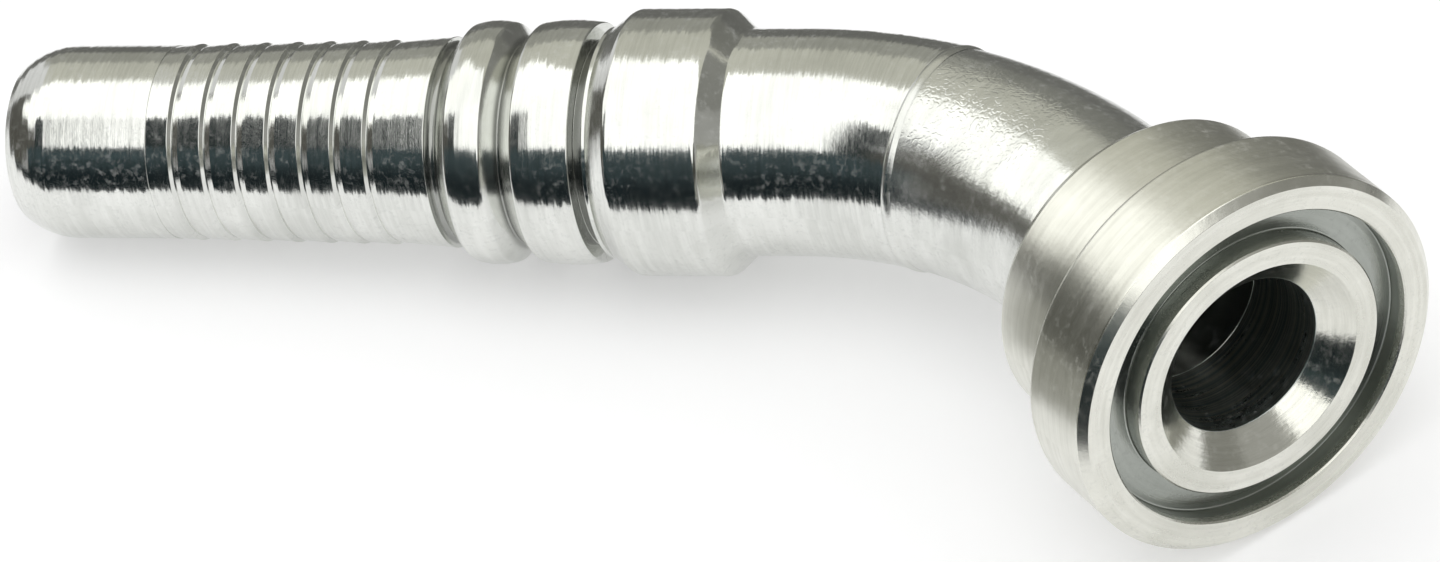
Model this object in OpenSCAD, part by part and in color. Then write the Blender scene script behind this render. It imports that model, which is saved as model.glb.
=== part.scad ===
// Bent flange hose fitting: a serrated interlock insert whose stub starts the 45 degree bend,
// a bent tube welded to it at the middle of the bend, and a flanged head brazed on the tube's end.
// Frame: +X runs along the insert from the centre of its nose end, the bend lies in the XY plane
// and turns towards -Y, +Z is square to the bend.

/* [Bore] */
// Diameter of the flow bore through insert, tube and head
bore_d = 19.5; // [14:0.5:21]

/* [Hose tail] */
// Diameter of the smooth front stretch of the tail
tail_d = 23.7; // [22.4:0.1:24.2]
// Length of the smooth front stretch, nose included
front_len = 19.2; // [8:0.1:30]
// Length of the round on the nose
nose_len = 5.8; // [3:0.1:7]
// Wall left at the end of the nose
nose_wall = 0.1; // [0.05:0.05:1]
// Number of serration lands
land_count = 8; // [3:1:11]
// Pitch of the serrations
land_pitch = 4.2; // [3:0.05:6]
// Width of the groove between two lands
land_gap = 1.3; // [0.8:0.1:2.4]
// Depth of that groove on the radius
land_depth = 0.45; // [0.35:0.05:0.7]
// How far the first land stands above the front stretch, on the radius
land_step = 0.15; // [0.1:0.05:0.4]
// Rise of the crests from the first land to the last, on the radius
crest_rise = 0.45; // [0:0.05:0.5]
// Fall of each land from its crest to its low edge, on the radius
land_fall = 0.24; // [0.05:0.01:0.3]
// Diameter at the end of the plain stretch behind the last land
tail_end_d = 25.5; // [25.3:0.1:26]
// Length of that stretch
tail_end_len = 3.7; // [1:0.1:10]

/* [Locking ribs] */
// Width of the groove between tail and first rib, at its mouth
front_groove_w = 1.6; // [1.2:0.1:3]
// Diameter at the bottom of that groove
front_groove_d = 23.4; // [22.4:0.1:24.8]
// Diameter of the first rib
rib1_d = 29.4; // [28:0.1:30.4]
// Length of the first rib's rising flank
rib1_rise = 1.5; // [1:0.1:4]
// Length of the first rib's crowned top
rib1_top = 4.4; // [2:0.1:6]
// Length of the first rib's falling flank
rib1_fall = 1.7; // [1:0.1:4]
// Diameter at the bottom of the notch between the ribs
notch_d = 24.4; // [23.4:0.1:26]
// Diameter of the second rib
rib2_d = 29.4; // [28:0.1:30.4]
// Length of the second rib's rising flank
rib2_rise = 2.2; // [1.4:0.1:4]
// Length of the second rib's crowned top
rib2_top = 7.2; // [4:0.1:12]
// How far the middle of each rib's top stands above its ends, on the radius
crown = 0.3; // [0.1:0.05:0.5]
// Width of the lock groove behind the second rib
lock_w = 1.5; // [0.7:0.1:2.4]
// Diameter at the bottom of the lock groove
lock_d = 24.6; // [23.4:0.1:26.4]
// Diameter of the narrow land behind the lock groove
seat_d = 27.8; // [26.8:0.1:28]
// Width of that narrow land
seat_w = 0.5; // [0.4:0.1:3]

/* [Shoulder collar] */
// Diameter of the shoulder collar
collar_d = 31.9; // [31:0.1:36]
// Width of the collar between its flanks
collar_w = 11.1; // [7:0.1:18]
// Length of the collar's front flank
collar_front = 2.9; // [2:0.1:4.5]
// Length of the collar's rear flank
collar_back = 2.6; // [1.5:0.1:4.5]
// Radius of the rounds at the collar's edges
collar_round = 1.2; // [0.5:0.1:1.6]

/* [Stub and bend] */
// Diameter of the plain stub behind the collar
stub_d = 27; // [26.7:0.1:28]
// Length of the straight part of the stub
stub_len = 6.3; // [3:0.1:25]
// Angle of the bend
bend_angle = 45; // [30:2.5:90]
// Radius of the bend on the centre line
bend_r = 55.6; // [40:0.1:85]
// Share of the bend that belongs to the insert
seam_share = 0.42; // [0.3:0.01:0.7]
// Diameter of the bent tube
tube_d = 26.7; // [26:0.1:26.7]

/* [Seam weld] */
// Width of the weld at the surface
weld_w = 1.2; // [0.6:0.1:2]
// Depth of the weld below the tube's surface
weld_depth = 1.3; // [0.8:0.1:2]
// Height of the weld bead above the surface
weld_crown = 0.2; // [0.1:0.05:0.5]

/* [Flanged head] */
// Diameter of the flange rim
rim_d = 47.6; // [45:0.1:53]
// Thickness of the flange
rim_t = 10.5; // [7:0.1:13]
// Chamfer on the rim's front edge
rim_chamfer = 0.9; // [0.3:0.1:1.8]
// Round on the rim's rear edge
rim_round = 0.7; // [0.3:0.1:1.6]
// Outer diameter of the O-ring groove
groove_d = 39.75; // [38.4:0.05:41]
// Width of the O-ring groove
groove_w = 3.75; // [3.4:0.05:4.4]
// Depth of the O-ring groove
groove_depth = 2.8; // [2.4:0.1:3.2]
// Edge break on the O-ring groove
groove_break = 0.2; // [0.1:0.05:0.5]
// Mouth diameter of the countersink
sink_d = 26.5; // [23:0.1:28]
// Depth of the countersink
sink_depth = 3.1; // [2:0.1:5]
// Diameter of the neck
neck_d = 38.6; // [37.4:0.1:40]
// Radius of the fillet between neck and flange
neck_fillet = 1.3; // [0.5:0.1:1.8]
// Distance from sealing face to the neck's rear face
head_len = 24; // [23:0.1:32]
// Length of the neck's rear taper
neck_taper = 1.2; // [0.6:0.1:5]
// Fall of the neck's rear taper, on the radius
neck_fall = 0.9; // [0.3:0.1:1.6]
// Distance from the end of the bend to the neck's rear face
tube_reach = 7; // [4.2:0.1:50]
// How deep the tube sits in the neck
socket_depth = 9; // [6:0.5:11]
// Clearance all round between tube and socket
socket_gap = 0.1; // [0.05:0.01:0.2]
// Leg of the brazed fillet along the tube
fillet_len = 2.6; // [1.6:0.1:4]
// Leg of the brazed fillet up the neck's rear face
fillet_up = 2.8; // [1.5:0.1:3.4]
// Thickness of the brazed fillet at its two toes
fillet_toe = 0.2; // [0.1:0.05:0.4]

/* [Hidden] */
$fn = 96;
ARC_STEPS = 8;
// how far a cutting shape runs past what it cuts
OVER = 1;
// where the bottom of a serration's V groove lies in its width
GROOVE_LEAN = 0.3;

bore_r = bore_d / 2;
tail_r = tail_d / 2;
tail_end_r = tail_end_d / 2;
rib1_r = rib1_d / 2;
notch_r = notch_d / 2;
rib2_r = rib2_d / 2;
lock_r = lock_d / 2;
seat_r = seat_d / 2;
collar_r = collar_d / 2;
stub_r = stub_d / 2;
tube_r = tube_d / 2;
rim_r = rim_d / 2;
groove_r = groove_d / 2;
sink_r = sink_d / 2;
neck_r = neck_d / 2;
socket_r = tube_r + socket_gap;

// stations along the insert's axis
lands_end = front_len + land_count * land_pitch - land_gap;
front_groove_x = lands_end + tail_end_len;
rib1_x = front_groove_x + front_groove_w;
rib1_top_x = rib1_x + rib1_rise;
notch_x = rib1_top_x + rib1_top + rib1_fall;
rib2_top_x = notch_x + rib2_rise;
lock_x = rib2_top_x + rib2_top;
seat_x = lock_x + lock_w;
collar_foot_x = seat_x + seat_w;
collar_x = collar_foot_x + collar_front;
collar_end_x = collar_x + collar_w;
stub_x = collar_end_x + collar_back;
bend_x = stub_x + stub_len;
seam_angle = bend_angle * seam_share;

// distance from the end of the bend to the sealing face
face_reach = tube_reach + head_len;
tube_straight = tube_reach + socket_depth;

// points of an arc about c from angle a0 to a1
function arc(c, r, a0, a1) =
    [for (i = [0:ARC_STEPS]) let (a = a0 + (a1 - a0) * i / ARC_STEPS) c + r * [cos(a), sin(a)]];

// radius of the arc with the given chord and rise
function arc_r(chord, rise) = (chord * chord / 4 + rise * rise) / (2 * rise);

// nose round: from the nose end up to the tail, tangent to the tail at nose_len
function nose() =
    let (r = arc_r(2 * nose_len, tail_r - bore_r - nose_wall))
    arc([tail_r - r, nose_len], r, -asin(nose_len / r), 0);

// radius of the crest of land k
function crest_r(k) = tail_r + land_step + crest_rise * k / (land_count - 1);

// land k of the serrations, rising from its low edge to its crest, with the V groove behind it
function land(k) =
    let (x = front_len + k * land_pitch, top = crest_r(k), crest_x = x + land_pitch - land_gap)
    [[top - land_fall, x],
     [top, crest_x],
     [top - land_depth, crest_x + land_gap * GROOVE_LEAN]];

// crowned top of a rib, with its middle at radius top
function crowned(x, len, top) =
    let (r = arc_r(len, crown), half = asin(len / 2 / r))
    arc([top - r, x + len / 2], r, -half, half);

// groove between tail and first rib, round at the bottom
function front_groove() =
    let (depth = tail_end_r - front_groove_d / 2,
         half = front_groove_w / 2)
    [for (i = [0:ARC_STEPS])
        let (a = 180 * i / ARC_STEPS)
        [tail_end_r - depth * sin(a), front_groove_x + half - half * cos(a)]];

// edge between the collar and a flank of the given run and fall, on the side that side names
function collar_edge(corner_x, run, fall, side) =
    let (t = atan2(fall, run), back = collar_round * tan(t / 2))
    arc([collar_r - collar_round, corner_x - side * back], collar_round,
        side > 0 ? 0 : -t, side > 0 ? t : 0);

// outline of the turned insert as [radius, station], nose to bend, with the bore as its inner edge
function insert_outline() = concat(
    [[bore_r, 0]],
    nose(),
    [[tail_r, front_len]],
    [for (k = [0:land_count - 2]) each land(k)],
    [[crest_r(land_count - 1) - land_fall, front_len + (land_count - 1) * land_pitch],
     [crest_r(land_count - 1), lands_end]],
    front_groove(),
    crowned(rib1_top_x, rib1_top, rib1_r),
    [[notch_r, notch_x]],
    crowned(rib2_top_x, rib2_top, rib2_r),
    [[lock_r, lock_x],
     [lock_r, seat_x],
     [seat_r, seat_x],
     [seat_r, collar_foot_x]],
    collar_edge(collar_x, collar_front, collar_r - seat_r, -1),
    collar_edge(collar_end_x, collar_back, collar_r - stub_r, 1),
    [[stub_r, stub_x],
     [stub_r, bend_x],
     [bore_r, bend_x]]);

// turns its children about the centre of the bend by angle a along the flow
module turned(a) translate([bend_x, -bend_r, 0]) rotate([0, 0, -a]) children();

// sweeps a pipe wall round the bend, from angle a0 to a1
module pipe_bend(a0, a1, outer_r)
    turned(a0)
        rotate([0, 0, 90])
            rotate_extrude(angle = a0 - a1)
                translate([bend_r, 0])
                    difference() {
                        circle(r = outer_r);
                        circle(r = bore_r);
                    }

// carries its children to the bend's centre line at angle a, with local +Z along the flow
module at_bend(a)
    turned(a)
        translate([0, bend_r, 0])
            rotate([0, 90, 0])
                children();

// carries its children to the sealing face, with local +Z out of the head
module at_face() at_bend(bend_angle) translate([0, 0, face_reach]) children();

// corners of the weld: its root, its edge on the tube and its edge on the stub
weld_root = [tube_r - weld_depth, 0];
weld_tube_edge = [tube_r, weld_w / 2];
weld_stub_edge = [stub_r, -weld_w / 2];

// V-shaped ring that the weld preparation takes from both ends
module weld_cut()
    at_bend(seam_angle)
        rotate_extrude()
            polygon([weld_root,
                     weld_root + (weld_tube_edge - weld_root) * 2,
                     weld_root + (weld_stub_edge - weld_root) * 2]);

module hose_insert() color("silver")
    difference() {
        union() {
            rotate([0, 90, 0]) rotate_extrude() polygon(insert_outline());
            pipe_bend(0, seam_angle, stub_r);
        }
        weld_cut();
    }

module elbow_tube() color("gainsboro")
    difference() {
        union() {
            pipe_bend(bend_angle, seam_angle, tube_r);
            at_bend(bend_angle)
                rotate([0, 0, 90])
                    rotate_extrude()
                        translate([bore_r, 0])
                            square([tube_r - bore_r, tube_straight]);
        }
        weld_cut();
    }

// bead that fills the weld preparation, crowned above the surface
module seam_weld_ring() color("lightgray")
    at_bend(seam_angle)
        rotate_extrude()
            polygon(concat(
                [weld_root],
                [for (i = [0:ARC_STEPS])
                    let (t = i / ARC_STEPS)
                    weld_tube_edge + (weld_stub_edge - weld_tube_edge) * t
                        + [4 * weld_crown * t * (1 - t), 0]]));

// outline of the head as [radius, distance in front of the sealing face]
function head_outline() = concat(
    [[0, 0],
     [rim_r - rim_chamfer, 0],
     [rim_r, -rim_chamfer]],
    arc([rim_r - rim_round, rim_round - rim_t], rim_round, 0, -90),
    arc([neck_r + neck_fillet, -rim_t - neck_fillet], neck_fillet, 90, 180),
    [[neck_r, neck_taper - head_len],
     [neck_r - neck_fall, -head_len],
     [0, -head_len]]);

// section of the O-ring groove, with its broken edges
module o_ring_groove() {
    land_r = groove_r - groove_w;
    polygon([[land_r, -groove_depth],
             [groove_r, -groove_depth],
             [groove_r, -groove_break],
             [groove_r + groove_break, 0],
             [groove_r + groove_break, OVER],
             [land_r - groove_break, OVER],
             [land_r - groove_break, 0],
             [land_r, -groove_break]]);
}

// section of the countersink, its cone run on past the face
module countersink() {
    slope = (sink_r - bore_r) / sink_depth;
    polygon([[0, OVER],
             [sink_r + slope * OVER, OVER],
             [bore_r, -sink_depth],
             [0, -sink_depth]]);
}

module flange_head() color("silver")
    at_face()
        difference() {
            rotate_extrude() polygon(head_outline());
            translate([0, 0, -head_len - OVER]) cylinder(r = bore_r, h = head_len + 2 * OVER);
            translate([0, 0, -head_len - OVER]) cylinder(r = socket_r, h = socket_depth + OVER);
            rotate_extrude() o_ring_groove();
            rotate_extrude() countersink();
        }

// hollow fillet of braze metal between the tube and the neck's rear face
module neck_braze_ring() color("lightgray")
    at_face()
        translate([0, 0, -head_len])
            rotate_extrude()
                polygon(concat(
                    [[tube_r, 0],
                     [tube_r, -fillet_len]],
                    [for (i = [0:ARC_STEPS])
                        let (a = 90 * i / ARC_STEPS)
                        [tube_r + fillet_up - (fillet_up - fillet_toe) * cos(a),
                         (fillet_len - fillet_toe) * sin(a) - fillet_len]],
                    [[tube_r + fillet_up, 0]]));

hose_insert();
elbow_tube();
flange_head();
seam_weld_ring();
neck_braze_ring();
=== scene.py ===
"""Bent flange hose fitting: turned surfaces with eased edges, finishes, light and camera.

Everything is in metres in the part's own frame: +X runs along the hose insert, the bend lies in the
XY plane and turns towards -Y, +Z is square to the bend.
"""
import math

import bpy
import numpy as np
from mathutils import Matrix, Vector


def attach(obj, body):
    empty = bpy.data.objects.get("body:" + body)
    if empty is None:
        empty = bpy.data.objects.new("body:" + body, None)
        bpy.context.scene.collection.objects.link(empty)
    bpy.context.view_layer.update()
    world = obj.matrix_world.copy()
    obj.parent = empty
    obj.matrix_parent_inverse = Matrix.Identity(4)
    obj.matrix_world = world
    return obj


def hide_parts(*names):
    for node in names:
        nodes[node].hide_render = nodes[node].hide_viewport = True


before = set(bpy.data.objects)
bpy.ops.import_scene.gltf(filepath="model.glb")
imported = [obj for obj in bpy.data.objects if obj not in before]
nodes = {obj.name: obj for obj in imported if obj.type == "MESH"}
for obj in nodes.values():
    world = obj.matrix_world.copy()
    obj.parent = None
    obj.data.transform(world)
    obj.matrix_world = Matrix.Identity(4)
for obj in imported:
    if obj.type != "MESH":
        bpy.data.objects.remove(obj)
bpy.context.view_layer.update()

MM = 0.001
MICRON = 0.000001

# the part's driving dimensions, as the solids have them
BORE_R = 9.75 * MM
TAIL_R = 11.85 * MM
FRONT_LEN = 19.2 * MM
NOSE_LEN = 5.8 * MM
NOSE_WALL = 0.1 * MM
LAND_COUNT = 8
LAND_PITCH = 4.2 * MM
LAND_GAP = 1.3 * MM
LAND_DEPTH = 0.45 * MM
LAND_STEP = 0.15 * MM
LAND_FALL = 0.24 * MM
CREST_RISE = 0.45 * MM
GROOVE_LEAN = 0.3
TAIL_END_R = 12.75 * MM
TAIL_END_LEN = 3.7 * MM
FRONT_GROOVE_W = 1.6 * MM
FRONT_GROOVE_R = 11.7 * MM
RIB_R = 14.7 * MM
RIB_CROWN = 0.3 * MM
RIB1_RISE, RIB1_TOP, RIB1_FALL = 1.5 * MM, 4.4 * MM, 1.7 * MM
NOTCH_R = 12.2 * MM
RIB2_RISE, RIB2_TOP = 2.2 * MM, 7.2 * MM
LOCK_W, LOCK_R = 1.5 * MM, 12.3 * MM
SEAT_W, SEAT_R = 0.5 * MM, 13.9 * MM
COLLAR_R = 15.95 * MM
COLLAR_FRONT, COLLAR_W, COLLAR_BACK = 2.9 * MM, 11.1 * MM, 2.6 * MM
COLLAR_ROUND = 1.2 * MM
STUB_R = 13.5 * MM
STUB_LEN = 6.3 * MM
BEND_R = 55.6 * MM
BEND_ANGLE = math.radians(45)
SEAM_SHARE = 0.42
TUBE_R = 13.35 * MM
TUBE_STRAIGHT = 16.0 * MM
WELD_W, WELD_DEPTH = 1.2 * MM, 1.3 * MM
FACE_REACH = 31.0 * MM
HEAD_LEN = 24.0 * MM
SOCKET_R, SOCKET_DEPTH = 13.45 * MM, 9.0 * MM
NECK_R, NECK_TAPER, NECK_FALL, NECK_FILLET = 19.3 * MM, 1.2 * MM, 0.9 * MM, 1.3 * MM
RIM_R, RIM_T, RIM_CHAMFER, RIM_ROUND = 23.8 * MM, 10.5 * MM, 0.9 * MM, 0.7 * MM
RING_R, RING_W, RING_DEPTH, RING_BREAK = 19.875 * MM, 3.75 * MM, 2.8 * MM, 0.2 * MM
RING_INNER_R = RING_R - RING_W
SINK_R, SINK_DEPTH = 13.25 * MM, 3.1 * MM

# stations along the flow line
LANDS_END = FRONT_LEN + LAND_COUNT * LAND_PITCH - LAND_GAP
FRONT_GROOVE_X = LANDS_END + TAIL_END_LEN
RIB1_X = FRONT_GROOVE_X + FRONT_GROOVE_W + RIB1_RISE
NOTCH_X = RIB1_X + RIB1_TOP + RIB1_FALL
RIB2_X = NOTCH_X + RIB2_RISE
LOCK_X = RIB2_X + RIB2_TOP
SEAT_X = LOCK_X + LOCK_W
COLLAR_FOOT_X = SEAT_X + SEAT_W
COLLAR_X = COLLAR_FOOT_X + COLLAR_FRONT
COLLAR_END_X = COLLAR_X + COLLAR_W
STUB_X = COLLAR_END_X + COLLAR_BACK
BEND_X = STUB_X + STUB_LEN
SEAM_X = BEND_X + BEND_R * BEND_ANGLE * SEAM_SHARE
BEND_END_X = BEND_X + BEND_R * BEND_ANGLE
FACE_X = BEND_END_X + FACE_REACH

FLOW = Vector((math.cos(BEND_ANGLE), -math.sin(BEND_ANGLE), 0))
ACROSS = Vector((math.sin(BEND_ANGLE), math.cos(BEND_ANGLE), 0))
BEND_CENTRE = Vector((BEND_X, -BEND_R, 0))
FACE = BEND_CENTRE + ACROSS * BEND_R + FLOW * FACE_REACH

# the camera: 150 mm lens, from above and in front of the flange
CAMERA_PLACE = Vector((0.301627, -0.514731, 0.445708))
CAMERA_RIGHT = Vector((0.954195, 0.226738, -0.195196))
CAMERA_DOWN = Vector((0.007732, -0.670896, -0.741511))
LENS = 150


# ---------------------------------------------------------------- turned and bent surfaces

def flow_line(station):
    """Centre of the bore, sideways direction and flow direction at stations along the flow:
    straight up to the bend, round the bend by distance over radius, then straight again."""
    angle = np.clip((station - BEND_X) / BEND_R, 0, BEND_ANGLE)
    straight = np.minimum(station - BEND_X, 0) + np.maximum(station - BEND_END_X, 0)
    out = np.stack([np.sin(angle), np.cos(angle), 0 * angle], -1)
    flow = np.stack([np.cos(angle), -np.sin(angle), 0 * angle], -1)
    return np.array(BEND_CENTRE) + out * BEND_R + flow * straight[:, None], out, flow


def rounded(corners, steps=3):
    """A closed outline of corners (station, radius, round), with each corner eased. Between the
    points at distance t before and after it runs the parabola corner + t(1-s)^2 u + t s^2 w,
    where u and w point back and ahead, and t is the round over the tangent of half the corner's
    angle, at most 0.45 of the shorter edge. Gives the points and their outward normals."""
    corners = np.array(corners)
    place, size = corners[:, :2], corners[:, 2]
    back = np.roll(place, 1, 0) - place
    ahead = np.roll(place, -1, 0) - place
    back_len = np.linalg.norm(back, axis=1)
    ahead_len = np.linalg.norm(ahead, axis=1)
    u = back / back_len[:, None]
    w = ahead / ahead_len[:, None]
    half = np.arccos(np.clip((u * w).sum(1), -1, 1)) / 2
    t = np.minimum(size / np.tan(half), 0.45 * np.minimum(back_len, ahead_len))[:, None, None]
    s = np.linspace(0, 1, steps + 1)[None, :, None]
    points = place[:, None] + t * ((1 - s) ** 2 * u[:, None] + s ** 2 * w[:, None])
    tangent = s * w[:, None] - (1 - s) * u[:, None]
    normals = np.stack([-tangent[..., 1], tangent[..., 0]], -1)
    normals /= np.linalg.norm(normals, axis=-1, keepdims=True)
    return points.reshape(-1, 2), normals.reshape(-1, 2)


def divided(points, normals, longest):
    """The same outline with its long edges divided evenly, so that they can follow the bend."""
    step = np.roll(points, -1, 0) - points
    turn = np.roll(normals, -1, 0) - normals
    bent = (points[:, 0] > BEND_X - longest) | (points[:, 0] + step[:, 0] > BEND_X)
    counts = np.where(bent, np.ceil(np.abs(step[:, 0]) / longest), 1).astype(int).clip(1)
    share = np.concatenate([np.arange(n) / n for n in counts])[:, None]
    return (np.repeat(points, counts, 0) + np.repeat(step, counts, 0) * share,
            np.repeat(normals, counts, 0) + np.repeat(turn, counts, 0) * share)


EDGE_STEP = 1.2 * MM      # longest edge of an outline on the bend


def turned_piece(name, corners, node, turns=224):
    """Carries a closed outline round the flow line. A point at station x, radius r and turn v is
    centre(x) + r (cos v sideways(x) + sin v Z); its normal is carried in the same way."""
    points, normals = divided(*rounded(corners), EDGE_STEP)
    centre, out, flow = flow_line(points[:, 0])
    v = np.linspace(0, 2 * math.pi, turns, endpoint=False)
    cosine, sine = np.cos(v)[None, :, None], np.sin(v)[None, :, None]
    spoke = out[:, None] * cosine + np.array([0, 0, 1]) * sine
    shape = centre[:, None] + spoke * points[:, 1, None, None]
    facing = flow[:, None] * normals[:, 0, None, None] + spoke * normals[:, 1, None, None]
    rows = len(points)
    i, j = np.meshgrid(np.arange(rows), np.arange(turns), indexing="ij")
    i2, j2 = (i + 1) % rows, (j + 1) % turns
    corners_of_faces = [i * turns + j, i * turns + j2, i2 * turns + j2, i2 * turns + j]
    faces = np.stack(corners_of_faces, -1).reshape(-1, 4)
    mesh = bpy.data.meshes.new(name)
    mesh.from_pydata(shape.reshape(-1, 3), [], faces)
    mesh.polygons.foreach_set("use_smooth", np.ones(len(faces), bool))
    mesh.normals_split_custom_set_from_vertices(facing.reshape(-1, 3).tolist())
    piece = bpy.data.objects.new(name, mesh)
    bpy.context.scene.collection.objects.link(piece)
    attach(piece, "root")
    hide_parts(node)
    return piece


def arc(station, radius, size, start, end, steps=6):
    """Corners along an arc about (station, radius), with angles from straight out."""
    a = np.radians(np.linspace(start, end, steps + 1))
    return [(station + size * math.sin(k), radius + size * math.cos(k), SOFT) for k in a]


def arc_size(chord, rise):
    """The radius of an arc from its chord and how far it rises above the chord."""
    return (chord * chord / 4 + rise * rise) / (2 * rise)


# rounds of the corners: left by a sharp tool, broken edges, worn edges, and points of an arc
CRISP = 0.05 * MM
BROKEN = 0.12 * MM
WORN = 0.25 * MM
SHOULDER = 0.7 * MM
SOFT = 3.0 * MM


def crest(k):
    """Radius of land k at its crest; the crests rise evenly along the tail."""
    return TAIL_R + LAND_STEP + CREST_RISE * k / (LAND_COUNT - 1)


def land(k):
    """One land of the serrations, rising to its crest, with the groove behind it."""
    start = FRONT_LEN + k * LAND_PITCH
    end = start + LAND_PITCH - LAND_GAP
    corners = [(start, crest(k) - LAND_FALL, BROKEN), (end, crest(k), BROKEN)]
    if k < LAND_COUNT - 1:
        corners.append((end + LAND_GAP * GROOVE_LEAN, crest(k) - LAND_DEPTH, BROKEN))
    return corners


def front_groove():
    """Half an ellipse down from the tail's end and up again to the first rib's foot."""
    a = np.radians(np.linspace(0, 180, 9))
    half = FRONT_GROOVE_W / 2
    middle = FRONT_GROOVE_X + half
    depth = TAIL_END_R - FRONT_GROOVE_R
    points = [(middle - half * math.cos(k), TAIL_END_R - depth * math.sin(k), SOFT) for k in a]
    points[0] = points[0][:2] + (BROKEN,)
    points[-1] = points[-1][:2] + (BROKEN,)
    return points


def crowned_rib(station, top, last_round):
    """A rib's top: an arc whose middle stands RIB_CROWN above its ends, with eased shoulders."""
    size = arc_size(top, RIB_CROWN)
    half = math.degrees(math.asin(top / 2 / size))
    points = arc(station + top / 2, RIB_R - size, size, -half, half)
    points[0] = points[0][:2] + (SHOULDER,)
    points[-1] = points[-1][:2] + (last_round,)
    return points


def insert_outline():
    """From the nose over the lands, ribs and collar to the seam, and back along the bore."""
    drop = TAIL_R - BORE_R - NOSE_WALL
    nose = arc_size(2 * NOSE_LEN, drop)
    front_slope = math.degrees(math.atan2(COLLAR_R - SEAT_R, COLLAR_FRONT))
    back_slope = math.degrees(math.atan2(COLLAR_R - STUB_R, COLLAR_BACK))
    front_set = COLLAR_ROUND * math.tan(math.radians(front_slope / 2))
    back_set = COLLAR_ROUND * math.tan(math.radians(back_slope / 2))
    return ([(0, BORE_R, CRISP)]
            + arc(NOSE_LEN, TAIL_R - nose, nose, -math.degrees(math.asin(NOSE_LEN / nose)), 0)
            + [(FRONT_LEN, TAIL_R, BROKEN)]
            + [corner for k in range(LAND_COUNT) for corner in land(k)]
            + front_groove()
            + crowned_rib(RIB1_X, RIB1_TOP, SHOULDER)
            + [(NOTCH_X, NOTCH_R, WORN)]
            + crowned_rib(RIB2_X, RIB2_TOP, WORN)
            + [(LOCK_X, LOCK_R, BROKEN), (SEAT_X, LOCK_R, BROKEN), (SEAT_X, SEAT_R, BROKEN),
               (COLLAR_FOOT_X, SEAT_R, BROKEN)]
            + arc(COLLAR_X + front_set, COLLAR_R - COLLAR_ROUND, COLLAR_ROUND, -front_slope, 0)
            + arc(COLLAR_END_X - back_set, COLLAR_R - COLLAR_ROUND, COLLAR_ROUND, 0, back_slope)
            + [(STUB_X, STUB_R, SHOULDER), (SEAM_X - WELD_W / 2, STUB_R, BROKEN),
               (SEAM_X, TUBE_R - WELD_DEPTH, CRISP), (SEAM_X, BORE_R, CRISP)])


def tube_outline():
    """From the seam over the bend to the tube's end in the socket, and back along the bore."""
    end = BEND_END_X + TUBE_STRAIGHT
    return [(SEAM_X, BORE_R, CRISP), (SEAM_X, TUBE_R - WELD_DEPTH, CRISP),
            (SEAM_X + WELD_W / 2, TUBE_R, BROKEN), (end, TUBE_R, WORN), (end, BORE_R, BROKEN)]


def head_outline():
    """From the socket's mouth over the neck and the rim to the face, then the ring groove, the
    countersink and the bore back to the socket. Depths are behind the sealing face."""
    corners = [(HEAD_LEN, SOCKET_R, CRISP), (HEAD_LEN, NECK_R - NECK_FALL, WORN),
               (HEAD_LEN - NECK_TAPER, NECK_R, WORN), (RIM_T, NECK_R, NECK_FILLET),
               (RIM_T, RIM_R, RIM_ROUND),
               (RIM_CHAMFER, RIM_R, WORN), (0, RIM_R - RIM_CHAMFER, BROKEN),
               (0, RING_R + RING_BREAK, CRISP), (RING_BREAK, RING_R, CRISP), (RING_DEPTH, RING_R, WORN),
               (RING_DEPTH, RING_INNER_R, WORN), (RING_BREAK, RING_INNER_R, CRISP),
               (0, RING_INNER_R - RING_BREAK, CRISP),
               (0, SINK_R, BROKEN), (SINK_DEPTH, BORE_R, BROKEN),
               (HEAD_LEN - SOCKET_DEPTH, BORE_R, CRISP), (HEAD_LEN - SOCKET_DEPTH, SOCKET_R, CRISP)]
    return [(FACE_X - depth, radius, size) for depth, radius, size in corners]


insert = turned_piece("turned_insert", insert_outline(), "hose_insert")
tube = turned_piece("bent_tube", tube_outline(), "elbow_tube")
head = turned_piece("turned_head", head_outline(), "flange_head", turns=288)


# ---------------------------------------------------------------- shader maths

class Value:
    """A number in a node tree. Arithmetic on it adds Math nodes."""

    def __init__(self, shader, socket):
        self.shader = shader
        self.socket = socket

    def maths(self, operation, *others):
        return self.shader.maths(operation, self, *others)

    def __add__(self, other):
        return self.maths("ADD", other)

    def __sub__(self, other):
        return self.maths("SUBTRACT", other)

    def __mul__(self, other):
        return self.maths("MULTIPLY", other)

    def __truediv__(self, other):
        return self.maths("DIVIDE", other)

    def __rsub__(self, other):
        return self.shader.maths("SUBTRACT", other, self)

    def __rtruediv__(self, other):
        return self.shader.maths("DIVIDE", other, self)

    __radd__ = __add__
    __rmul__ = __mul__


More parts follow.
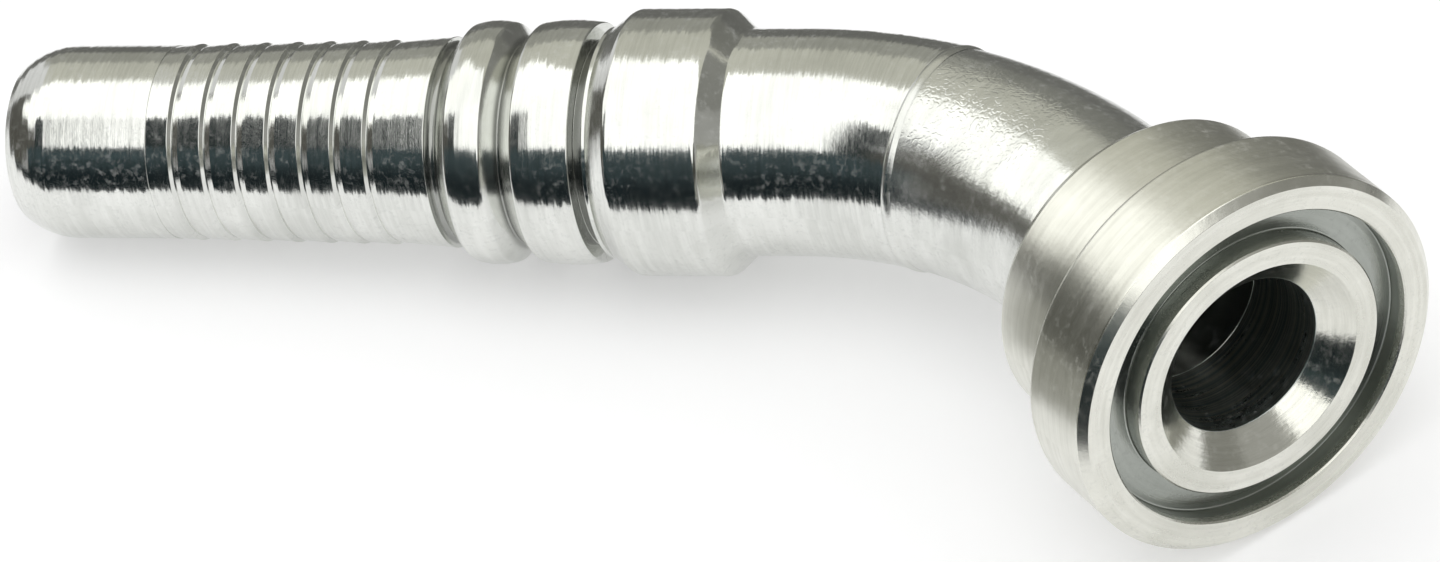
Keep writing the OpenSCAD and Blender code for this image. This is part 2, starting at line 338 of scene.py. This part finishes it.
class Shader:
    """A material's node tree, with one method for any node and short forms for the common ones."""

    def __init__(self, name):
        self.material = bpy.data.materials.new(name)
        self.material.use_nodes = True
        self.tree = self.material.node_tree
        self.tree.nodes.clear()
        self.output = self.node("ShaderNodeOutputMaterial")

    def node(self, kind, settings=None, **sockets):
        """Adds a node, sets its settings, then its sockets, to values or to links."""
        node = self.tree.nodes.new(kind)
        for name, value in (settings or {}).items():
            setattr(node, name, value)
        for name, value in sockets.items():
            key = int(name[1:]) if name[1:].isdigit() else name.replace("_", " ")
            self.feed(node.inputs[key], value)
        return node

    def feed(self, socket, value):
        if isinstance(value, Value):
            value = value.socket
        if isinstance(value, bpy.types.NodeSocket):
            self.tree.links.new(value, socket)
        else:
            socket.default_value = value

    def maths(self, operation, *values):
        sockets = {f"n{i}": value for i, value in enumerate(values)}
        node = self.node("ShaderNodeMath", {"operation": operation}, **sockets)
        return Value(self, node.outputs[0])

    def clamp(self, value, low, high, smooth=True):
        """0 below low, 1 above high, and a ramp between them."""
        kind = "SMOOTHSTEP" if smooth else "LINEAR"
        node = self.node("ShaderNodeMapRange", {"interpolation_type": kind},
                         Value=value, From_Min=low, From_Max=high)
        return Value(self, node.outputs["Result"])

    def noise(self, vector=None, along=None, scale=1.0, detail=2.0, roughness=0.5):
        """Smooth noise, over a vector or along one number, scaled in metres."""
        settings = {"noise_dimensions": "1D" if vector is None else "3D"}
        sockets = {"Scale": scale, "Detail": detail, "Roughness": roughness}
        sockets["W" if vector is None else "Vector"] = along if vector is None else vector
        node = self.node("ShaderNodeTexNoise", settings, **sockets)
        return Value(self, node.outputs[0])

    def vector(self, x, y, z):
        return self.node("ShaderNodeCombineXYZ", X=x, Y=y, Z=z).outputs[0]

    def mix(self, factor, a, b):
        node = self.node("ShaderNodeMix", {"data_type": "RGBA"}, n0=factor, n6=a, n7=b)
        return node.outputs[2]

    def place(self):
        """The three Object coordinates as numbers."""
        coordinates = self.node("ShaderNodeTexCoord").outputs["Object"]
        split = self.node("ShaderNodeSeparateXYZ", n0=coordinates)
        return coordinates, [Value(self, socket) for socket in split.outputs]

    def vectors(self, operation, *values, **sockets):
        sockets.update({f"n{i}": value for i, value in enumerate(values)})
        return self.node("ShaderNodeVectorMath", {"operation": operation}, **sockets).outputs[0]

    def tilt(self, normal, axis, amount):
        """Turns a normal about an axis, by an amount that may vary, as shallow facets do."""
        aside = self.vectors("CROSS_PRODUCT", axis, normal)
        aside = self.vectors("SCALE", aside, Scale=amount)
        return self.vectors("NORMALIZE", self.vectors("ADD", normal, aside))

    def bump(self, height, distance, strength=1.0, normal=None):
        node = self.node("ShaderNodeBump", Height=height, Distance=distance, Strength=strength)
        if normal is not None:
            self.feed(node.inputs["Normal"], normal)
        return node.outputs[0]


def colour(r, g, b):
    return (r, g, b, 1.0)


# ---------------------------------------------------------------- finishes

def round_coordinates(s, middle, axis):
    """Distance along an axis through middle, distance from it, the turn about it, and the axis."""
    _, (x, y, z) = s.place()
    px, py, pz = x - middle.x, y - middle.y, z - middle.z
    side = Vector((-axis.y, axis.x, 0))
    along = px * axis.x + py * axis.y
    across = px * side.x + py * side.y
    radius = (across * across + pz * pz).maths("SQRT")
    turn = pz.maths("ARCTAN2", across)
    return along, radius, turn, tuple(axis)


def bend_coordinates(s):
    """The same round the bend: arc length, distance from the centre line, turn, and axis."""
    _, (x, y, z) = s.place()
    px, py = x - BEND_CENTRE.x, y - BEND_CENTRE.y
    out = (px * px + py * py).maths("SQRT")
    along = px.maths("ARCTAN2", py) * BEND_R
    across = out - BEND_R
    radius = (across * across + z * z).maths("SQRT")
    turn = z.maths("ARCTAN2", across)
    return along, radius, turn, s.vector(py / out, 0 - px / out, 0.0)


# noise scales of the plate, per metre
PATCHES = 90.0
WAVES = 700.0
BLOOMS = 1050.0
GRAIN = 2600.0
FACETS = 2400.0


def zinc(name, coordinates, light, dark, shine, marks, marks_depth, wave_depth, streak_tilt,
         recess_shade=None, grips=None):
    """Bright zinc plate over turned steel: tool marks that run round the piece, shallow waves
    that break up the edges of reflections, a soft mottling of the plate, and a fine grain."""
    s = Shader(name)
    along, radius, turn, axis = coordinates(s)
    place, _ = s.place()
    line = along + radius
    fine = s.noise(along=line, scale=marks, detail=3.0, roughness=0.7)
    coarse = s.noise(along=line, scale=marks * 0.14, detail=2.0, roughness=0.6)
    patch = s.noise(vector=place, scale=PATCHES, detail=4.0, roughness=0.6)
    streak = s.noise(vector=s.vector(line * marks * 0.25, turn * 1.2, 0.0), detail=3.0, roughness=0.65)
    facet = s.noise(vector=s.vector(line * FACETS, turn * 1.6, 3.0), detail=4.0, roughness=0.7)
    wave = s.noise(vector=place, scale=WAVES, detail=3.0, roughness=0.6)
    grain = s.noise(vector=place, scale=GRAIN, detail=2.0, roughness=0.6)
    tone = s.clamp(patch * 0.55 + streak * 0.45, 0.3, 0.7)
    base = s.mix(tone, colour(*dark), colour(*light))
    rough = shine + (coarse - 0.5) * 0.08 + (1 - tone) * 0.06 + (grain - 0.5) * 0.05
    # painted shade mixed into the plate in recesses; on the head also changes of roughness
    if recess_shade is not None:
        base, rough = recess_shade(s, along, radius, base, rough)
    bloom = s.noise(vector=place, scale=BLOOMS, detail=4.0, roughness=0.7)
    metallic = 1 - s.clamp(bloom, 0.5, 0.72) * s.clamp(patch, 0.3, 0.6) * 0.22
    normal = s.bump(fine, marks_depth)
    normal = s.bump(streak, marks_depth * 2.5, normal=normal)
    normal = s.bump(wave, wave_depth, normal=normal)
    normal = s.bump(grain, 1.5 * MICRON, normal=normal)
    if grips is not None:
        normal = s.bump(grips(s, along, turn), 22 * MICRON, normal=normal)
    normal = s.tilt(normal, axis, (facet - 0.5) * streak_tilt)
    metal = s.node("ShaderNodeBsdfPrincipled", Base_Color=base, Roughness=rough,
                   Metallic=metallic, Normal=normal)
    s.feed(s.output.inputs["Surface"], metal.outputs[0])
    return s.material


def dip(s, value, start, end, soft):
    """1 between start and end, 0 outside, with soft edges outside them."""
    return s.clamp(value, start - soft, start) * (1 - s.clamp(value, end, end + soft))


# painted shade: the dark colour mixed into the insert's plate low in its grooves
GROOVE_PAINTED_SHADE = (0.10, 0.105, 0.095)
# painted shade low in the O-ring groove
RING_PAINTED_SHADE = (0.10, 0.13, 0.125)
# painted shade inside the bore
BORE_PAINTED_SHADE = (0.26, 0.34, 0.36)


def groove_shade_share(s, along, radius, start, end, soft, low, high):
    """Share of painted shade low in a groove: 1 from start to end, falling to 0 between the radii low and
    high.
    """
    return dip(s, along, start, end, soft) * (1 - s.clamp(radius, low, high))


def insert_recess_shade(s, along, radius, base, rough):
    """Painted shade low in the lock groove, the notch between the ribs and the groove in front of them:
    a dark colour mixed into the plate there, which is also made a little duller."""
    # painted shade in the lock groove, the notch and the front groove, as shares from 0 to 1
    lock = groove_shade_share(s, along, radius, LOCK_X + 0.1 * MM, SEAT_X - 0.1 * MM, 0.1 * MM,
                   LOCK_R + 0.9 * MM, LOCK_R + 1.7 * MM) * 0.85
    notch = groove_shade_share(s, along, radius, NOTCH_X - 0.3 * MM, NOTCH_X + 0.4 * MM, 0.5 * MM,
                    NOTCH_R + 0.1 * MM, NOTCH_R + 1.2 * MM) * 0.6
    front = groove_shade_share(s, along, radius, FRONT_GROOVE_X + 0.2 * MM,
                    FRONT_GROOVE_X + FRONT_GROOVE_W - 0.2 * MM, 0.2 * MM,
                    FRONT_GROOVE_R + 0.3 * MM, FRONT_GROOVE_R + 0.9 * MM) * 0.6
    painted_shade = lock.maths("MAXIMUM", notch).maths("MAXIMUM", front)
    return s.mix(painted_shade, base, colour(*GROOVE_PAINTED_SHADE)), rough + painted_shade * 0.1


def head_shade_and_finish(s, along, radius, base, rough):
    """Painted shade low in the O-ring groove, none at its edges; painted shade in a rougher bore,
    lighter in rings; a smooth countersink; and a coarser turned skin on the head's outside."""
    deep = s.clamp(along, -RING_DEPTH - 0.4 * MM, -RING_DEPTH - 0.2 * MM)
    deep = deep * (1 - s.clamp(along, -1.6 * MM, -RING_BREAK))
    outside = s.clamp(radius, RING_INNER_R - 0.525 * MM, RING_INNER_R - 0.225 * MM)
    inside = 1 - s.clamp(radius, RING_R + 0.125 * MM, RING_R + 0.425 * MM)
    # painted shade low in the O-ring groove
    base = s.mix(deep * outside * inside * 0.6, base, colour(*RING_PAINTED_SHADE))
    # painted shade inside the bore, lighter in rings along the tool marks
    bore = 1 - s.clamp(radius, BORE_R + 0.05 * MM, BORE_R + 0.15 * MM)
    rings = s.clamp(s.noise(along=along, scale=1800.0, detail=3.0, roughness=0.7), 0.35, 0.65)
    base = s.mix(bore * (0.80 - rings * 0.75), base, colour(*BORE_PAINTED_SHADE))
    sink = 1 - s.clamp(radius, SINK_R - 0.15 * MM, SINK_R)
    skirt = s.clamp(radius, NECK_R - 0.3 * MM, NECK_R - 0.1 * MM)
    skirt = skirt * (1 - s.clamp(along, -RIM_CHAMFER - 0.5 * MM, -RIM_CHAMFER - 0.1 * MM))
    return base, rough + bore * 0.14 - sink * 0.10 + skirt * 0.08


def grip_marks(s, along, turn):
    """Faint crumpled marks on the top of the bend, where the bending tool held the tube."""
    zone = s.clamp(along, 16 * MM, 21 * MM) * (1 - s.clamp(along, 36 * MM, 41 * MM))
    zone = zone * s.clamp(turn, 1.1, 1.5) * (1 - s.clamp(turn, 2.0, 2.4))
    place, _ = s.place()
    worms = s.noise(vector=place, scale=1100.0, detail=1.0, roughness=0.5)
    return s.clamp((worms - 0.5).maths("ABSOLUTE"), 0.0, 0.12) * zone


def insert_coordinates(s):
    return round_coordinates(s, Vector((0, 0, 0)), Vector((1, 0, 0)))


def head_coordinates(s):
    return round_coordinates(s, FACE, FLOW)


def paint(piece, material):
    piece.data.materials.clear()
    piece.data.materials.append(material)


LIGHT_ZINC = (0.80, 0.81, 0.78)
DARK_ZINC = (0.62, 0.63, 0.60)
WARM_ZINC = (0.81, 0.81, 0.75)
DARK_WARM_ZINC = (0.63, 0.63, 0.57)

paint(insert, zinc("turned_zinc", insert_coordinates, LIGHT_ZINC, DARK_ZINC,
                   0.11, 6000.0, 2 * MICRON, 12 * MICRON, 0.20, recess_shade=insert_recess_shade))
paint(tube, zinc("bent_tube_zinc", bend_coordinates, LIGHT_ZINC, DARK_ZINC,
                 0.19, 1500.0, 1 * MICRON, 35 * MICRON, 0.12, grips=grip_marks))
paint(head, zinc("flange_zinc", head_coordinates, WARM_ZINC, DARK_WARM_ZINC,
                 0.22, 5000.0, 3 * MICRON, 20 * MICRON, 0.10, recess_shade=head_shade_and_finish))
for node, name, coordinates in (("seam_weld_ring", "weld_zinc", bend_coordinates),
                                ("neck_braze_ring", "braze_zinc", head_coordinates)):
    paint(nodes[node], zinc(name, coordinates, LIGHT_ZINC, DARK_ZINC,
                            0.2, 1500.0, 1 * MICRON, 30 * MICRON, 0.05))


# ---------------------------------------------------------------- studio

def rest_plane():
    """The plane that the part lies on, as a point and an upward normal: it touches the tail's
    nose, the collar and the rim from below. Each is a circle, so the plane's height is settled
    by a few rounds of 'where is each circle lowest, then through the three points'."""
    circles = [(Vector((NOSE_LEN, 0, 0)), Vector((1, 0, 0)), TAIL_R),
               (Vector((COLLAR_X + 0.6 * MM, 0, 0)), Vector((1, 0, 0)), COLLAR_R),
               (FACE - FLOW * RIM_CHAMFER, FLOW, RIM_R)]
    up = Vector((0, 0, 1))
    for _ in range(12):
        lowest = []
        for middle, axis, radius in circles:
            down = -(up - axis * up.dot(axis)).normalized()
            lowest.append(middle + down * radius)
        up = (lowest[2] - lowest[0]).cross(lowest[1] - lowest[0]).normalized()
        if up.z < 0:
            up = -up
    return lowest[0], up


def card(name, corners, material, seen=False):
    """A flat or folded card of the studio, from its rows of corners."""
    rows, columns = len(corners), len(corners[0])
    mesh = bpy.data.meshes.new(name)
    faces = [(r * columns + c, r * columns + c + 1, (r + 1) * columns + c + 1, (r + 1) * columns + c)
             for r in range(rows - 1) for c in range(columns - 1)]
    mesh.from_pydata([tuple(p) for row in corners for p in row], [], faces)
    mesh.materials.append(material)
    piece = bpy.data.objects.new(name, mesh)
    bpy.context.scene.collection.objects.link(piece)
    piece.visible_camera = seen
    piece.visible_shadow = False
    piece.visible_diffuse = seen
    return piece


def glow(name, level):
    """A card's plain own light."""
    s = Shader(name)
    light = s.node("ShaderNodeEmission", Color=colour(*level), Strength=1.0)
    s.feed(s.output.inputs["Surface"], light.outputs[0])
    return s.material


def floor_finish():
    """Pale matt floor; a share of its brightness is its own for camera and mirror rays, so that
    it is white where no shadow falls."""
    s = Shader("floor_white")
    ray = s.node("ShaderNodeLightPath")
    seen = Value(s, ray.outputs["Is Camera Ray"]).maths("MAXIMUM", ray.outputs["Is Glossy Ray"])
    seen = seen.maths("MAXIMUM", ray.outputs["Is Transmission Ray"])
    matt = s.node("ShaderNodeBsdfDiffuse", Color=colour(0.8, 0.8, 0.8))
    own = s.node("ShaderNodeEmission", Color=colour(1, 1, 1), Strength=seen * 0.3)
    both = s.node("ShaderNodeAddShader", n0=matt.outputs[0], n1=own.outputs[0])
    s.feed(s.output.inputs["Surface"], both.outputs[0])
    return s.material


floor_point, floor_up = rest_plane()
floor_x = Vector((1, 0, 0)) - floor_up * floor_up.x
floor_x.normalize()
floor_y = floor_up.cross(floor_x)
FLOOR_REACH = 4.0
MIDDLE_X = 0.08      # about the middle of the part
floor_middle = floor_point + floor_x * MIDDLE_X
floor_rows = [[floor_middle + (floor_x * a + floor_y * b) * FLOOR_REACH for a in (-1, 1)]
              for b in (-1, 1)]
card("floor", floor_rows, floor_finish(), seen=True)


def studio(x, turn, reach):
    """A point of the studio round the insert: x along it, turn in degrees up from the front."""
    a = math.radians(turn)
    return Vector((x, -math.cos(a) * reach, math.sin(a) * reach))


def studio_card(name, low, high, reach, level, steps=12):
    """A card bent round the insert's axis at one reach. low and high list its lower and upper
    edge as (x, turn) from left to right."""
    columns = []
    for (x0, t0), (x1, t1) in zip(low, high):
        columns.append([studio(x0 + (x1 - x0) * k / steps, t0 + (t1 - t0) * k / steps, reach)
                        for k in range(steps + 1)])
    return card(name, columns, glow(name + "_glow", level))


DARK_TEAL = (0.012, 0.018, 0.020)
MID_TEAL = (0.070, 0.100, 0.108)
BROWN_GREY = (0.10, 0.097, 0.085)
SOFTBOX = (1.5, 1.5, 1.47)


def mottled_glow(name):
    """The dark front card: nearly black low down, teal higher up, in soft uneven patches."""
    s = Shader(name)
    _, (x, y, z) = s.place()
    lift = s.clamp(z, -0.05, 0.35)
    patches = s.noise(vector=s.vector(x * 30.0, z * 10.0, 0.0), scale=1.0, detail=4.0, roughness=0.65)
    share = lift * s.clamp(patches, 0.3, 0.68) * 1.1
    level = s.mix(share, colour(*DARK_TEAL), colour(*MID_TEAL))
    light = s.node("ShaderNodeEmission", Color=level, Strength=1.0)
    s.feed(s.output.inputs["Surface"], light.outputs[0])
    return s.material


def flat_card(name, corners, level):
    """A plain card from its rows of corners (x, y, z)."""
    return card(name, [[Vector(p) for p in row] for row in corners], glow(name + "_glow", level))


# the softbox above, in two parts: short at the left low down, longer high up
studio_card("softbox", [(-0.352, 34), (-0.26, 35), (0.0, 36), (0.20, 30), (0.36, 20), (0.75, 20)],
            [(-0.352, 92), (-0.26, 97), (-0.17, 114), (0.20, 110), (0.36, 104), (0.75, 98)],
            0.80, SOFTBOX)
studio_card("softbox_end", [(-0.66, 70), (-0.352, 70)], [(-0.66, 86), (-0.352, 92)], 0.80, SOFTBOX)
front_card = studio_card("front_card", [(-1.15, -20), (1.0, -20)], [(-0.95, 34), (1.0, 34)],
                         0.85, DARK_TEAL)
front_card.data.materials[0] = mottled_glow("front_card_mottled")
studio_card("end_card", [(-0.62, 30), (-0.34, 30)], [(-0.62, 72), (-0.34, 72)],
            0.86, (0.02, 0.027, 0.028))
studio_card("bend_card", [(-1.35, 30), (-0.61, 30)], [(-1.35, 60), (-0.61, 46)], 0.87, BROWN_GREY)
studio_card("back_card", [(-0.50, 88), (1.6, 88)], [(-0.50, 150), (1.6, 150)],
            0.90, (0.60, 0.595, 0.52))
studio_card("top_edge_card", [(-0.60, 150), (-0.02, 150)], [(-0.60, 184), (-0.02, 184)],
            0.90, (0.36, 0.36, 0.32))
studio_card("back_edge_card", [(-0.02, 150), (1.6, 150)], [(-0.02, 184), (1.6, 184)],
            0.90, (0.22, 0.22, 0.20))

flat_card("left_wall",
          [[(-1.15, -0.85, z), (-1.45, -0.30, z), (-1.50, 0.60, z)] for z in (-0.1, 1.2)],
          BROWN_GREY)
flat_card("right_back_wall", [[(0.9, y, z) for y in (0.0, 1.6)] for z in (-0.3, 1.6)], (0.26, 0.26, 0.24))
flat_card("right_front_wall", [[(0.9, y, z) for y in (-0.8, 0.0)] for z in (-0.1, 1.2)], (0.38, 0.38, 0.36))


# small bright card over the tail, which the flank of the flange mirrors
NEAR_REACH = 0.35


def round_the_head(slant, turn):
    """A point at NEAR_REACH from the face: slant in degrees off the flow, turn round it."""
    g, a = math.radians(slant), math.radians(turn)
    spoke = ACROSS * math.cos(a) + Vector((0, 0, 1)) * math.sin(a)
    return FACE + (FLOW * math.cos(g) + spoke * math.sin(g)) * NEAR_REACH


flat_card("near_card", [[round_the_head(slant, 92 + 58 * k / 8) for k in range(9)]
                        for slant in (121, 141)], (1.6, 1.6, 1.54))


# low cards beside the bend, grey and dark above, for the side of the head that faces the insert
HEAD_CARD_X = 0.115


def head_card(name, low, high, level):
    rows = [[(HEAD_CARD_X, y, z) for y in (-0.036, -0.085)] for z in (low, high)]
    return flat_card(name, rows, level)


head_card("head_card", -0.008, 0.010, (0.33, 0.33, 0.30))
head_card("head_dark_card", 0.010, 0.036, (0.06, 0.06, 0.05))


def table_sheet(name, near, far, level):
    """A sheet just above the table, between two edges given as points (x, y) of the table."""
    rows = [[floor_middle + floor_up * 0.5 * MM + floor_x * (x - MIDDLE_X) + floor_y * y for x, y in edge]
            for edge in (near, far)]
    return card(name, rows, glow(name + "_glow", level))


table_sheet("front_sheet",
            [(-1.2, -0.040), (-0.016, -0.062), (0.013, -0.066), (0.062, -0.092), (0.21, -0.105)],
            [(-1.2, -1.0), (-0.4, -1.0), (-0.2, -1.0), (0.0, -1.0), (0.21, -1.0)], DARK_TEAL)
table_sheet("back_sheet", [(-0.3, 0.05), (0.12, 0.05), (0.5, 0.05)],
            [(-0.6, 1.2), (0.12, 1.2), (0.9, 1.2)], (0.16, 0.16, 0.15))


def lamp(name, place, aim, size_x, size_y, power):
    """A soft area lamp that shows in no reflection."""
    light = bpy.data.lights.new(name, "AREA")
    light.shape = "RECTANGLE"
    light.size = size_x
    light.size_y = size_y
    light.energy = power
    piece = bpy.data.objects.new(name, light)
    bpy.context.scene.collection.objects.link(piece)
    piece.location = place
    piece.rotation_mode = "QUATERNION"
    piece.rotation_quaternion = (aim - place).to_track_quat("-Z", "X")
    piece.visible_glossy = False
    return piece


MIDDLE = Vector((MIDDLE_X, -0.01, 0))
lamp("overhead_lamp", studio(0.02, 80, 0.8), MIDDLE, 0.6, 0.9, 1.6)

world = bpy.data.worlds.new("studio")
bpy.context.scene.world = world
world.use_nodes = True
background = world.node_tree.nodes["Background"]
background.inputs["Color"].default_value = colour(1, 1, 1)
background.inputs["Strength"].default_value = 0.8

camera = bpy.data.objects.new("camera", bpy.data.cameras.new("camera"))
bpy.context.scene.collection.objects.link(camera)
camera.data.lens = LENS
camera.data.clip_end = 20
back = CAMERA_DOWN.cross(CAMERA_RIGHT).normalized()
right = CAMERA_RIGHT.normalized()
up = back.cross(right)
turn = Matrix((right, up, back)).transposed().to_4x4()
camera.matrix_world = Matrix.Translation(CAMERA_PLACE) @ turn
bpy.context.scene.camera = camera
bpy.context.scene.view_settings.view_transform = "Standard"
